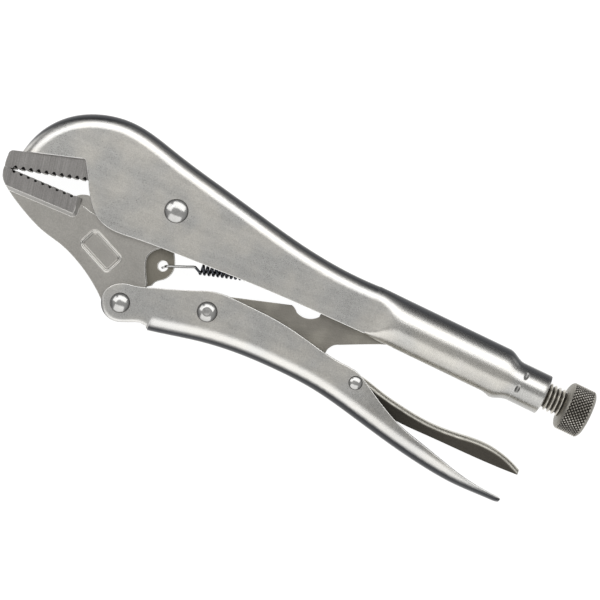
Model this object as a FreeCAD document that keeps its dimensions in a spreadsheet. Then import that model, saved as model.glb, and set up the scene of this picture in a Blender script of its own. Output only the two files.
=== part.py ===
import FreeCAD, Part
import math
import os
import re

import Sketcher

V = FreeCAD.Vector
PARTS = "parts"
LAP = 0.02  # the tube starts this much inside the head, so that their faces never run along each other
SEAM = 0.1  # the flat left between the tube's rounded corners
CORNER_STEPS = 4  # points that carry a quarter of the tube's section
FLARE_STEPS = 6  # stations over which the tube widens and narrows
NEAR = 0.01  # tolerance for picking edges by place
MOUTH_X = 8.8  # the lower handle's spine starts here, and in front of it the channel is open below

# Driving sizes in millimetres and degrees. The tool lies on its side: X runs from the jaws to the
# knob, Y towards the spine of the frame, Z across the sheet metal. Places are measured from the
# jaw pivot, on the middle plane of the tool.
SIZES = (
    ("channel_gap", 9.4, "clear width between the cheeks of frame and lower handle"),
    ("frame_gauge", 2.7, "sheet thickness of the frame"),
    ("lever_gauge", 2.6, "sheet thickness of the lower handle"),
    ("release_gauge", 1.6, "sheet thickness of the release lever"),
    ("side_play", 0.25, "side clearance of a piece that swings between cheeks"),
    ("pin_play", 0.05, "radial clearance of a rivet shank"),
    ("frame_bend", 6.0, "outer bend radius along the spine of the frame"),
    ("lever_bend", 6.2, "outer bend radius along the spine of the lower handle"),
    ("release_bend", 2.4, "outer bend radius of the release lever"),
    ("edge_break", 0.5, "rounding of the sheared sheet edges"),
    ("jaw_pin_radius", 3.5, "shank radius of the jaw pivot rivet"),
    ("jaw_head_radius", 4.8, "head radius of the jaw pivot rivet"),
    ("lever_pin_radius", 2.8, "shank radius of the lever pivot rivet"),
    ("lever_head_radius", 4.0, "head radius of the lever pivot rivet"),
    ("toggle_pin_radius", 2.8, "shank radius of the toggle rivet"),
    ("toggle_head_radius", 4.1, "head radius of the toggle rivet"),
    ("release_pin_radius", 1.8, "shank radius of the release rivet"),
    ("release_head_radius", 2.8, "head radius of the release rivet"),
    ("head_height", 1.9, "height of a large rivet head above the sheet"),
    ("small_head_height", 1.2, "height of the release rivet head above the sheet"),
    ("lever_pivot_x", -4.4, "lever pivot"),
    ("lever_pivot_y", -42.4, "lever pivot"),
    ("toggle_pivot_x", 28.3, "toggle pivot"),
    ("toggle_pivot_y", -30.7, "toggle pivot"),
    ("release_pivot_x", 93.5, "release lever pivot"),
    ("release_pivot_y", -30.6, "release lever pivot"),
    ("screw_axis_y", -2.4, "height of the screw axis"),
    ("tube_start_x", 100.0, "where the closed tube reaches its full width"),
    ("tube_end_x", 144.0, "where the tube begins to narrow to the neck"),
    ("neck_start_x", 151.0, "root of the round neck"),
    ("neck_length", 12.5, "length of the round neck"),
    ("tube_width", 17.5, "outer width of the tube"),
    ("tube_height", 21.0, "outer height of the tube"),
    ("spine_y", 8.4, "height of the straight part of the frame's spine"),
    ("slot_width", 7.2, "width of the open seam under the tube"),
    ("neck_wall", 2.65, "wall of the threaded neck"),
    ("thread_radius", 5.55, "outer radius of the thread"),
    ("thread_play", 0.08, "radial clearance of the screw in its neck"),
    ("nose_radius", 4.4, "radius of the plain nose of the screw"),
    ("nose_length", 10.0, "length of the plain nose of the screw"),
    ("nose_gap", 2.8, "gap between toggle tip and screw nose, the open pivot"),
    ("screw_reach", 8.3, "thread showing between neck and knob"),
    ("knob_radius", 10.1, "radius of the knob"),
    ("knob_length", 11.2, "length of the knob"),
    ("toggle_tip_x", 113.2, "rear end of the toggle link at rest"),
    ("toggle_width", 5.5, "thickness of the toggle link"),
    ("toggle_tip_radius", 3.0, "radius of the toggle link's rear end"),
    ("toggle_boss_radius", 7.0, "radius of the toggle link's eye"),
    ("block_width", 12.4, "width of the toothed blocks of both jaws"),
    ("tang_width", 7.4, "thickness of the movable jaw's tang"),
    ("ear_width", 3.2, "thickness of the spring ear"),
    ("heel_radius", 7.0, "radius of the movable jaw's heel round the lever pivot"),
    ("lobe_radius", 7.6, "radius of the lower handle's lobe round the lever pivot"),
    ("tooth_pitch", 3.1, "distance between tooth grooves"),
    ("tooth_depth", 1.2, "depth of a tooth groove"),
    ("tooth_opening", 2.1, "width of a tooth groove at its mouth"),
    ("upper_teeth", 10, "grooves in the fixed jaw"),
    ("lower_teeth", 9, "grooves in the movable jaw"),
    ("bite_gap", 0.05, "gap between the closed jaw tips"),
    ("tip_y", -13.4, "height at which the closed jaw tips meet"),
    ("upper_slope", 16.3, "slope of the fixed jaw's teeth"),
    ("lower_slope", 2.7, "slope of the movable jaw's teeth"),
    ("block_bevel", 1.3, "bevel round the ground block of the movable jaw"),
    ("badge_x", -20.4, "middle of the badge recess"),
    ("badge_y", -27.3, "middle of the badge recess"),
    ("badge_tilt", -22.0, "tilt of the badge recess"),
    ("badge_width", 15.4, "length of the badge recess"),
    ("badge_height", 7.8, "width of the badge recess"),
    ("badge_corner", 1.6, "corner radius of the badge recess"),
    ("badge_depth", 0.6, "depth of the badge recess"),
    ("badge_bevel", 0.5, "bevel round the badge recess"),
    ("coil_radius", 2.35, "outer radius of the spring's coil"),
    ("wire_radius", 0.48, "radius of the spring wire"),
    ("coil_pitch", 1.78, "pitch of the stretched coil"),
    ("anchor_x", 59.0, "hole of the spring tab"),
    ("anchor_y", -3.4, "hole of the spring tab"),
    ("ear_hole_x", 4.2, "hole of the spring ear"),
    ("ear_hole_y", -22.0, "hole of the spring ear"),
    ("ear_hole_radius", 2.1, "radius of the hole in the spring ear"),
    ("handle_end_x", 165.4, "tail of the lower handle"),
    ("tail_trim", 4.0, "how far the rounded tail of either lever is cut back square"),
    ("release_end_x", 167.4, "tail of the release lever"),
)
NAMES = {name for name, value, note in SIZES}


class Sizes:
    """The values of the spreadsheet, read back by name."""

    def __init__(self, sheet):
        for name in NAMES:
            setattr(self, name, float(sheet.get(name)))


def make_sheet(doc):
    sheet = doc.addObject("Spreadsheet::Sheet", "dims")
    for row, (name, value, note) in enumerate(SIZES, 1):
        sheet.set(f"A{row}", note)
        sheet.set(f"B{row}", str(value))
        sheet.setAlias(f"B{row}", name)
    doc.recompute()
    return sheet


def bind(thing, prop, formula):
    """Tie a property to the sheet; the formula uses the sizes' plain names."""
    cells = re.sub(r"[a-z_]+", lambda m: "dims." + m.group() if m.group() in NAMES else m.group(), formula)
    thing.setExpression(prop, cells)


# ---------------------------------------------------------------- sketches and features


def new_body(doc, name):
    body = doc.addObject("PartDesign::Body", name)
    body.Label = name
    return body


def new_sketch(body, name, role="XY_Plane", height=None):
    """A sketch on one of the body's origin planes, lifted by a formula when height is given."""
    sketch = body.newObject("Sketcher::SketchObject", name)
    plane = next(f for f in body.Origin.OriginFeatures if f.Role == role)
    sketch.AttachmentSupport = [(plane, "")]
    sketch.MapMode = "FlatFace"
    if height is not None:
        bind(sketch, "AttachmentOffset.Base.z", height)
    return sketch


def spline(points):
    """A smooth curve through points."""
    curve = Part.BSplineCurve()
    curve.interpolate(Points=[V(x, y, 0) for x, y in points])
    return curve


def draw(sketch, *steps):
    """Close an outline. A step is a point, an arc (middle, end), or a list of points for a curve."""
    first = V(*steps[0], 0)
    here = first
    for step in steps[1:] + (steps[0],):
        if isinstance(step, Part.BSplineCurve):
            sketch.addGeometry(step)
            here = step.value(step.LastParameter)
        elif isinstance(step, list):
            sketch.addGeometry(spline([(here.x, here.y)] + step))
            here = V(*step[-1], 0)
        elif isinstance(step[0], tuple):
            middle, end = V(*step[0], 0), V(*step[1], 0)
            sketch.addGeometry(Part.Arc(here, middle, end))
            here = end
        else:
            end = V(*step, 0)
            if here.distanceToPoint(end) > 1e-6:
                sketch.addGeometry(Part.LineSegment(here, end))
            here = end
    return sketch


def circle(sketch, x, y, radius):
    """A circle whose place and radius are formulas."""
    index = sketch.addGeometry(Part.Circle(V(0, 0, 0), V(0, 0, 1), 1.0))
    for kind, at, formula in (("DistanceX", "x", x), ("DistanceY", "y", y)):
        spot = sketch.addConstraint(Sketcher.Constraint(kind, -1, 1, index, 3, 1.0))
        sketch.renameConstraint(spot, f"{at}{index}")
        bind(sketch, f"Constraints.{at}{index}", formula)
    size = sketch.addConstraint(Sketcher.Constraint("Radius", index, 1.0))
    sketch.renameConstraint(size, f"r{index}")
    bind(sketch, f"Constraints.r{index}", radius)
    return sketch


def pad(body, name, sketch, length, midplane=True):
    feature = body.newObject("PartDesign::Pad", name)
    feature.Profile = sketch
    feature.SideType = "Symmetric" if midplane else "One side"
    bind(feature, "Length", length)
    return feature


def pocket(body, name, sketch, length, midplane=True, up=False):
    feature = body.newObject("PartDesign::Pocket", name)
    feature.Profile = sketch
    feature.SideType = "Symmetric" if midplane else "One side"
    feature.Reversed = up
    bind(feature, "Length", length)
    return feature


def hole(body, name, x, y, radius):
    """A round hole along Z right through the piece."""
    sketch = circle(new_sketch(body, name + "_sketch"), x, y, radius)
    return pocket(body, name, sketch, "4 * tube_width")


def edges_where(feature, test, count=None, least=0.0):
    """Names of the edges, no shorter than least, on which every sampled point passes the test."""
    names = []
    for number, edge in enumerate(feature.Shape.Edges, 1):
        if edge.Length >= least and all(test(p) for p in edge.discretize(7)):
            names.append(f"Edge{number}")
    if not names or (count and len(names) != count):
        raise RuntimeError(f"{feature.Name}: {len(names)} edges found, {count} wanted")
    return names


def on_side(p, width):
    """True for a point on either flat side of a pad of this width."""
    return abs(abs(p.z) - width / 2) < NEAR


def fillet(body, name, base, test, radius, count=None, least=0.0):
    base.Document.recompute()
    feature = body.newObject("PartDesign::Fillet", name)
    feature.Base = (base, edges_where(base, test, count, least))
    bind(feature, "Radius", radius)
    return feature


def revolve(body, name, points, axis="H_Axis", role="XZ_Plane"):
    """Turn a closed profile whose corners are pairs of formulas about a sketch axis."""
    sketch = new_sketch(body, name + "_sketch", role)
    formula_polygon(sketch, points)
    feature = body.newObject("PartDesign::Revolution", name)
    feature.Profile = sketch
    feature.ReferenceAxis = (sketch, [axis])
    feature.Angle = 360
    return feature


def formula_polygon(sketch, points):
    """A closed polygon whose corners are pairs of formulas."""
    count = len(points)
    start = [(10 + 5 * math.cos(2 * math.pi * i / count), 5 * math.sin(2 * math.pi * i / count))
             for i in range(count)]
    for i in range(count):
        sketch.addGeometry(Part.LineSegment(V(*start[i], 0), V(*start[(i + 1) % count], 0)))
    for i in range(count):
        sketch.addConstraint(Sketcher.Constraint("Coincident", i, 2, (i + 1) % count, 1))
    for i, (x, y) in enumerate(points):
        for kind, at, formula in (("DistanceX", "x", x), ("DistanceY", "y", y)):
            spot = sketch.addConstraint(Sketcher.Constraint(kind, -1, 1, i, 1, 1.0))
            sketch.renameConstraint(spot, f"{at}{i}")
            bind(sketch, f"Constraints.{at}{i}", formula)
    return sketch


def offset(points, distance):
    """Points moved sideways by distance, to the left of the direction in which they run."""
    moved = []
    for i, (x, y) in enumerate(points):
        ax, ay = points[max(i - 1, 0)]
        bx, by = points[min(i + 1, len(points) - 1)]
        length = math.hypot(bx - ax, by - ay)
        moved.append((x - distance * (by - ay) / length, y + distance * (bx - ax) / length))
    return moved


# ---------------------------------------------------------------- frame


def spine_points(s):
    """Outer line of the frame's spine over the head, from the nose to the straight part."""
    return [(-65.8, -4.3), (-63.0, 5.0), (-55.0, 15.5), (-45.0, 21.5), (-31.0, 24.4), (-10.0, 21.0),
            (20.0, s.spine_y + 6.9), (50.0, s.spine_y + 1.5), (s.tube_start_x - 12, s.spine_y)]


def cheek_points(s):
    """Lower edge of the frame's cheeks behind the jaw notch."""
    under = s.spine_y - s.tube_height
    return [(-35.0, -7.2), (-33.0, -10.0), (-30.0, -13.5), (-26.0, -16.4), (-19.0, -17.8),
            (-10.0, -16.9), (10.0, -15.1), (40.0, -13.0), (70.0, -11.8), (s.tube_start_x - 12, under + 1.2)]


def block_seat(x):
    """Height of the plane on which the cheeks rest on the fixed jaw's block."""
    return 2.8 + 0.337 * (x + 42.0)


def cut_with(body, name, tool):
    """Cut another body out of this one."""
    body.Document.recompute()
    feature = body.newObject("PartDesign::Boolean", name)
    feature.Type = "Cut"
    feature.addObject(tool)
    return feature


def head_prism(doc, name, s, inset, width, radius):
    """The solid under the spine's line, or its inside when inset by the sheet, with rounded back."""
    body = new_body(doc, name)
    line = spine_points(s)
    nose = [(-66.2, -8.0)] + line
    edge = offset(nose, -inset)[:-1] + [(line[-1][0], line[-1][1] - inset)]
    first, last = edge[0], edge[-1]
    outline = new_sketch(body, name + "_outline")
    draw(outline, (first[0] - 1.0, -24.0 - inset), first, spline(edge), (last[0], -24.0 - inset))
    prism = pad(body, name + "_prism", outline, width)
    fillet(body, name + "_bend", prism, lambda p: spine_side(p) and abs(p.z) > 2, radius, 4)
    return body


def make_frame(doc, s):
    body = head_prism(doc, "frame", s, 0.0, "channel_gap + 2 * frame_gauge", "frame_bend")
    back = s.tube_start_x - 12
    make_tube(body, s, back)
    tool = head_prism(doc, "frame_channel", s, s.frame_gauge, "channel_gap", "frame_bend - frame_gauge")
    cut_with(body, "channel", tool)
    trim = new_sketch(body, "cheek_trim")
    low = cheek_points(s)
    draw(trim, (-90.0, block_seat(-90.0)), (-42.8, block_seat(-42.8)), ((-41.4, 2.75), (-40.7, 1.9)),
         (-36.6, -4.2), low, (back, -60.0), (-90.0, -60.0))
    pocket(body, "cheek_edge", trim, "4 * tube_width")
    hole(body, "jaw_pin_hole", "0", "0", "jaw_pin_radius + pin_play")
    make_tab(body, s)
    return body


def spine_side(p):
    """True for a point near the spine's line rather than the open side."""
    return p.y > 0.5 or p.x < -60


def corner(centre, across, along, start):
    """Points of a quarter ellipse, from the angle start in degrees."""
    turns = [math.radians(start + step * 90 / CORNER_STEPS) for step in range(CORNER_STEPS + 1)]
    return [(centre[0] + along * math.cos(turn), centre[1] + across * math.sin(turn)) for turn in turns]


def section(sketch, width, top, bottom, upper, lower):
    """A rectangle with elliptic corners, given as (across, along); Y runs along the sketch's first axis."""
    half = width / 2
    corners = [corner((top - upper[1], half - upper[0]), *upper, 0),
               corner((bottom + lower[1], half - lower[0]), *lower, 90),
               corner((bottom + lower[1], lower[0] - half), *lower, 180),
               corner((top - upper[1], upper[0] - half), *upper, 270)]
    steps = [corners[0][0]]
    for points in corners:
        steps += [points[0], points[1:]]
    return draw(sketch, *steps)


def blend(a, b, t):
    """A smooth step from a to b."""
    return a + (b - a) * t * t * (3 - 2 * t)


def tube_sections(s, back, inset):
    """Stations along the tube: place, width, top, bottom, and the corners as (across, along)."""
    width = s.channel_gap + 2 * s.frame_gauge
    under = s.spine_y - s.tube_height
    neck = s.thread_radius + s.neck_wall
    full = (s.tube_width / 2 - SEAM, s.tube_height / 2 - SEAM)
    rows = []
    for step in range(-1, FLARE_STEPS + 1):
        x = back + step * (s.tube_start_x - back) / FLARE_STEPS
        t = max(step, 0) / FLARE_STEPS
        upper = (blend(s.frame_bend, full[0], t), blend(s.frame_bend, full[1], t))
        lower = (blend(1.0, full[0], t), blend(1.0, full[1], t))
        rows.append((x, blend(width, s.tube_width, t), s.spine_y, blend(under + 1.2, under, t), upper, lower))
    for step in range(FLARE_STEPS + 1):
        t = step / FLARE_STEPS
        x = s.tube_end_x + t * (s.neck_start_x - s.tube_end_x)
        round_off = (blend(full[0], neck - SEAM, t), blend(full[1], neck - SEAM, t))
        rows.append((x, blend(s.tube_width, 2 * neck, t), blend(s.spine_y, s.screw_axis_y + neck, t),
                     blend(under, s.screw_axis_y - neck, t), round_off, round_off))
    return [inset_station(row, inset + (LAP if row[0] <= back else 0.0)) for row in rows]


def inset_station(row, move):
    """A station moved inwards all round."""
    x, width, top, bottom, upper, lower = row
    upper, lower = ([max(radius - move, 0.3) for radius in pair] for pair in (upper, lower))
    return x, width - 2 * move, top - move, bottom + move, upper, lower


def loft(body, name, kind, rows):
    """A solid or a cut through rounded sections at stations along X."""
    sketches = []
    for i, (x, *shape) in enumerate(rows):
        sketch = section(new_sketch(body, f"{name}_{i}", "YZ_Plane"), *shape)
        sketch.AttachmentOffset = FreeCAD.Placement(V(0, 0, x), FreeCAD.Rotation())
        sketches.append(sketch)
    body.Document.recompute()
    feature = body.newObject(kind, name)
    feature.Profile = sketches[0]
    feature.Sections = sketches[1:]
    feature.Ruled = True
    return feature


def make_tube(body, s, back):
    outer = tube_sections(s, back, 0.0)
    inner = tube_sections(s, back, s.frame_gauge)
    loft(body, "tube", "PartDesign::AdditiveLoft", outer)
    neck = circle(new_sketch(body, "neck_circle", "YZ_Plane", "neck_start_x"), "screw_axis_y", "0",
                  "thread_radius + neck_wall")
    pad(body, "neck", neck, "neck_length", midplane=False)
    loft(body, "tube_bore", "PartDesign::SubtractiveLoft", inner[:-FLARE_STEPS + 2])
    bore = circle(new_sketch(body, "neck_bore_circle", "YZ_Plane", "toggle_tip_x"), "screw_axis_y", "0",
                  "thread_radius + thread_play")
    pocket(body, "neck_bore", bore, "2 * neck_length + neck_start_x - toggle_tip_x", midplane=False, up=True)
    seam = new_sketch(body, "seam_outline", "XZ_Plane")
    half, wide = s.slot_width / 2, s.channel_gap / 2
    draw(seam, (back - 6, wide), (back + 2, wide), (s.tube_start_x + 2, half), (s.tube_end_x - half, half),
         ((s.tube_end_x, 0), (s.tube_end_x - half, -half)), (s.tube_start_x + 2, -half), (back + 2, -wide),
         (back - 6, -wide))
    bind(seam, "AttachmentOffset.Base.z", "-screw_axis_y")
    pocket(body, "seam", seam, "tube_height", midplane=False, up=True)


def make_tab(body, s):
    """The spring tab, lanced from the spine and turned down into the channel."""
    outline = new_sketch(body, "tab_outline")
    x, y = s.anchor_x, s.anchor_y
    top = s.spine_y - 1.0
    draw(outline, (x - 3.2, top), (x - 3.2, y), ((x, y - 3.2), (x + 3.2, y)), (x + 3.2, top))
    pad(body, "tab", outline, "frame_gauge")
    hole_sketch = circle(new_sketch(body, "tab_hole_sketch"), "anchor_x", "anchor_y", "3 * wire_radius")
    pocket(body, "tab_hole", hole_sketch, "channel_gap")


# ---------------------------------------------------------------- jaws


def teeth(body, s, name, angle, start, top, count):
    """A row of V grooves from a starting point along a line at the given angle."""
    groove = new_sketch(body, name + "_groove")
    groove.AttachmentOffset = FreeCAD.Placement(V(*start, 0), FreeCAD.Rotation(V(0, 0, 1), angle))
    half, depth = s.tooth_opening / 2, s.tooth_depth
    out = 1.5 if top else -1.5
    deep = -depth if top else depth
    draw(groove, (-half, 0), (-0.3, deep), (0.3, deep), (half, 0), (half, out), (-half, out))
    cut = pocket(body, name, groove, "2 * block_width")
    row = body.newObject("PartDesign::LinearPattern", name + "_row")
    row.Originals = [cut]
    row.Direction = (groove, ["H_Axis"])
    row.Mode = "Spacing"
    bind(row, "Offset", "tooth_pitch")
    bind(row, "Occurrences", count)
    body.Tip = row
    return row


def fixed_land(s, x):
    """Height of the fixed jaw's crests."""
    return -11.0 + math.tan(math.radians(s.upper_slope)) * (x + 60.0)


def movable_land(s, x):
    """Height of the movable jaw's crests."""
    return -12.9 + math.tan(math.radians(s.lower_slope)) * (x + 60.0)


def make_fixed_jaw(doc, s):
    body = new_body(doc, "fixed_jaw")
    tip = s.tip_y + s.bite_gap
    flat = -60.0 + (tip + 11.0) / math.tan(math.radians(s.upper_slope))
    outline = new_sketch(body, "block_outline")
    draw(outline, (-69.3, tip), ((-69.9, -10.8), (-70.0, -8.4)), ((-69.7, -7.0), (-68.6, block_seat(-68.6))),
         (-42.8, block_seat(-42.8)), ((-41.4, 2.75), (-40.7, 1.9)), (-36.6, -4.2),
         (-36.7, fixed_land(s, -36.7)), (flat, tip))
    block = pad(body, "block", outline, "block_width")
    fillet(body, "block_edges", block, lambda p: on_side(p, s.block_width) and
           (p.x < -69.2 or p.x < -50 and abs(p.y - block_seat(p.x)) < NEAR), "edge_break")
    tongue = new_sketch(body, "tongue_outline")
    back = offset(spine_points(s)[:5], -(s.frame_bend + 0.2))
    draw(tongue, (back[0][0], -5.5), back[0], spline(back), (-31.8, 0.0), (-36.6, -4.2), (-44.0, -3.0))
    pad(body, "tongue", tongue, "channel_gap")
    teeth(body, s, "teeth", s.upper_slope, (-65.0, fixed_land(s, -65.0)), False, "upper_teeth")
    return body


def make_panel(body, s):
    """The flat of the movable jaw, from the block to the heel round the lever pivot."""
    px, py, r = s.lever_pivot_x, s.lever_pivot_y, s.heel_radius
    panel = new_sketch(body, "panel_outline")
    draw(panel, (-68.7, -15.7), [(-67.7, -18.0), (-65.9, -19.9), (-62.1, -22.5), (-58.0, -24.7),
         (-50.0, -28.3), (-45.0, -30.0), (-35.0, -32.1), (-30.0, -33.8), (-20.0, -38.8), (-15.0, -42.2),
         (px - 0.83 * r, py - 0.56 * r)],
         ((px + 0.3 * r, py - 0.954 * r), (px + r, py)), (px + r, py + 4), (1.5, -31.3),
         [(-0.5, -28.0), (-2.3, -24.5), (-3.0, -21.5), (-2.0, -18.5), (0.3, -16.0)], (0.3, -13.0),
         (-24.0, -13.0), [(-28.0, -15.2), (-33.0, -14.6), (-38.0, -14.0)], (-66.0, -14.6))
    pad(body, "panel", panel, "channel_gap - 2 * side_play")


def make_tang(body):
    """The tang that swings between the cheeks, and the ear that carries the spring."""
    tang = new_sketch(body, "tang_outline")
    draw(tang, (-45.0, -18.0), (-38.0, -11.0), [(-35.5, -9.7), (-33.3, -9.2), (-24.0, -3.5), (-16.0, 2.5),
         (-9.0, 7.6)], ((0.6, 9.48), (9.0, 3.2)), (7.0, -12.5), (0.3, -14.5), (-3.5, -18.0), (-4.0, -22.0),
         (-30.0, -22.0))
    pad(body, "tang", tang, "tang_width")
    ear = new_sketch(body, "ear_outline")
    draw(ear, (-6.0, -14.0), (5.0, -14.0), [(7.5, -18.0), (8.5, -20.5), (8.7, -22.5), (8.2, -24.5),
         (7.0, -26.5), (5.0, -28.2), (3.5, -31.0)], (1.0, -33.0), (-6.0, -30.0))
    pad(body, "ear", ear, "ear_width")


def make_block(body, s):
    """The toothed block of the movable jaw, bevelled below and behind."""
    outline = new_sketch(body, "block_outline")
    draw(outline, (-69.3, s.tip_y), (-66.8, s.tip_y), (-66.0, movable_land(s, -66.0)),
         (-38.2, movable_land(s, -38.2)), (-36.3, -11.6), (-35.3, -17.5), ((-35.8, -19.4), (-37.6, -20.0)),
         (-64.0, -21.3), [(-66.0, -19.8), (-67.8, -18.1), (-68.9, -15.9), (-69.3, s.tip_y)])
    block = pad(body, "block", outline, "block_width")
    body.Document.recompute()
    bevel = body.newObject("PartDesign::Chamfer", "block_bevel_edge")
    bevel.Base = (block, edges_where(block, lambda p: on_side(p, s.block_width) and
                                     (p.x > -37.7 and p.y < -11.5 or -64.1 < p.x and p.y < -19.9)))
    bind(bevel, "Size", "block_bevel")
    teeth(body, s, "teeth", s.lower_slope, (-65.0, movable_land(s, -65.0)), True, "lower_teeth")


def make_badge(body, s):
    """The shallow recess with bevelled rim that takes the maker's badge."""
    badge = new_sketch(body, "badge_outline")
    middle = V(s.badge_x, s.badge_y, 0)
    badge.AttachmentOffset = FreeCAD.Placement(middle, FreeCAD.Rotation(V(0, 0, 1), s.badge_tilt))
    w, h, q = s.badge_width / 2, s.badge_height / 2, s.badge_corner
    k = q * (1 - math.sqrt(0.5))
    draw(badge, (-w + q, -h), (w - q, -h), ((w - k, -h + k), (w, -h + q)), (w, h - q),
         ((w - k, h - k), (w - q, h)), (-w + q, h), ((-w + k, h - k), (-w, h - q)), (-w, -h + q),
         ((-w + k, -h + k), (-w + q, -h)))
    bind(badge, "AttachmentOffset.Base.z", "channel_gap / 2 - side_play - badge_depth")
    recess = pocket(body, "badge_recess", badge, "3", midplane=False, up=True)
    body.Document.recompute()
    face = s.channel_gap / 2 - s.side_play
    bevel = body.newObject("PartDesign::Chamfer", "badge_rim")
    bevel.Base = (recess, edges_where(recess, lambda p: abs(p.z - face) < NEAR
                                      and math.hypot(p.x - middle.x, p.y - middle.y) < math.hypot(w, h)))
    bind(bevel, "Size", "badge_bevel")


def make_movable_jaw(doc, s):
    body = new_body(doc, "movable_jaw")
    make_panel(body, s)
    make_tang(body)
    make_block(body, s)
    make_badge(body, s)
    hole(body, "jaw_pin_hole", "0", "0", "jaw_pin_radius + pin_play")
    hole(body, "lever_pin_hole", "lever_pivot_x", "lever_pivot_y", "lever_pin_radius + pin_play")
    hole(body, "spring_hole", "ear_hole_x", "ear_hole_y", "ear_hole_radius")
    return body


# ---------------------------------------------------------------- lower handle


def handle_spine(s):
    """Outer line of the lower handle's spine, from its folded front edge past the tail."""
    end = s.handle_end_x
    return [(9.6, -47.9), (20.0, -45.4), (30.0, -43.0), (40.0, -41.3), (50.0, -40.3), (60.0, -39.9),
            (70.0, -39.9), (80.0, -40.5), (92.0, -42.3), (105.0, -44.8), (120.0, -47.5), (end - 30, -49.5),
            (end - 20, -50.1), (end - 10, -49.8), (end + s.tail_trim, -49.3)]


def handle_rim(s):
    """Upper edge of the lower handle's flanges."""
    end = s.handle_end_x
    px, py, r = s.lever_pivot_x, s.lever_pivot_y, s.lobe_radius
    return [(px - 0.6 * r, py + 0.84 * r), (px - 0.35 * r, py + 0.96 * r), (0.0, -33.3), (5.0, -31.3),
            (10.0, -29.4), (15.0, -27.4), (20.0, -25.3), (25.0, -23.1), (30.0, -21.9), (40.0, -21.5),
            (55.0, -21.8), (65.0, -23.0), (75.0, -24.8), (85.0, -26.0), (93.0, -26.7), (96.5, -28.2),
            (100.0, -30.2), (110.0, -35.4), (118.0, -38.6), (130.0, -41.6), (end - 25.4, -44.0),
            (end - 15.4, -46.1), (end - 8.0, -46.9), (end + 2 * s.tail_trim, -47.0)]


def handle_channel(doc, s, floor):
    """The hollow of the lower handle as a solid of its own."""
    tool = new_body(doc, "handle_channel")
    outline = new_sketch(tool, "hollow_outline")
    draw(outline, (MOUTH_X - 0.1, -5.0), (MOUTH_X - 0.1, floor[0][1] - 0.1), floor[0], spline(floor),
         (floor[-1][0], -5.0))
    prism = pad(tool, "hollow", outline, "channel_gap")
    fillet(tool, "hollow_bend", prism, lambda p: on_side(p, s.channel_gap) and p.y < -36,
           "lever_bend - lever_gauge", least=60)
    return tool


def handle_bulk(body, s):
    """The solid under the spine with its bend, the rounded tail, and the lobe round the lever pivot."""
    spine = handle_spine(s)
    tail = spine[-1][0]
    width = s.channel_gap + 2 * s.lever_gauge
    bulk = new_sketch(body, "channel_outline")
    draw(bulk, (spine[0][0], -15.0), spine[0], spline(spine), (tail, -15.0))
    trough = pad(body, "trough", bulk, "channel_gap + 2 * lever_gauge")
    ends = fillet(body, "tail_round", trough, lambda p: on_side(p, width) and p.x > tail - NEAR,
                  "channel_gap / 2 + lever_gauge - 0.4", 2)
    fillet(body, "spine_bend", ends, lambda p: p.y < -39 and p.x > 9.5
           and (on_side(p, width) or p.x > tail - 8), "lever_bend")
    px, py, r = s.lever_pivot_x, s.lever_pivot_y, s.lobe_radius
    lobe = new_sketch(body, "lobe_outline")
    draw(lobe, (px - 0.35 * r, py + 0.937 * r),
         ((px - 0.99 * r, py - 0.1 * r), (px + 0.1 * r, py - 0.995 * r)),
         [(0.0, -48.9), (3.0, -47.4), (6.0, -46.2)], (8.6, -46.2), (9.5, -47.2), (9.7, -42.0), (12.0, -41.0),
         (12.0, -25.0), (-5.0, -31.0))
    pad(body, "lobe", lobe, "channel_gap + 2 * lever_gauge")


def make_lower_handle(doc, s):
    body = new_body(doc, "lower_handle")
    handle_bulk(body, s)
    cut_with(body, "cavity", handle_channel(doc, s, offset(handle_spine(s), s.lever_gauge)[:-1]))
    mouth = new_sketch(body, "mouth_outline")
    draw(mouth, (-20.0, -60.0), (MOUTH_X, -60.0), (MOUTH_X, -15.0), (-20.0, -15.0))
    pocket(body, "mouth", mouth, "channel_gap")
    rim = handle_rim(s)
    trim = new_sketch(body, "rim_trim")
    draw(trim, rim[0], spline(rim), (rim[-1][0], 0.0), (rim[0][0], 0.0))
    pocket(body, "rim", trim, "4 * tube_width")
    end = s.handle_end_x
    square = new_sketch(body, "tail_outline")
    draw(square, (end, -60.0), (end + 2 * s.tail_trim, -60.0), (end + 2 * s.tail_trim, -30.0), (end, -30.0))
    pocket(body, "tail_end", square, "4 * tube_width")
    hole(body, "lever_pin_hole", "lever_pivot_x", "lever_pivot_y", "lever_pin_radius + pin_play")
    hole(body, "toggle_pin_hole", "toggle_pivot_x", "toggle_pivot_y", "toggle_pin_radius")
    hole(body, "release_pin_hole", "release_pivot_x", "release_pivot_y", "release_pin_radius")
    return body


# ---------------------------------------------------------------- toggle link


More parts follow.
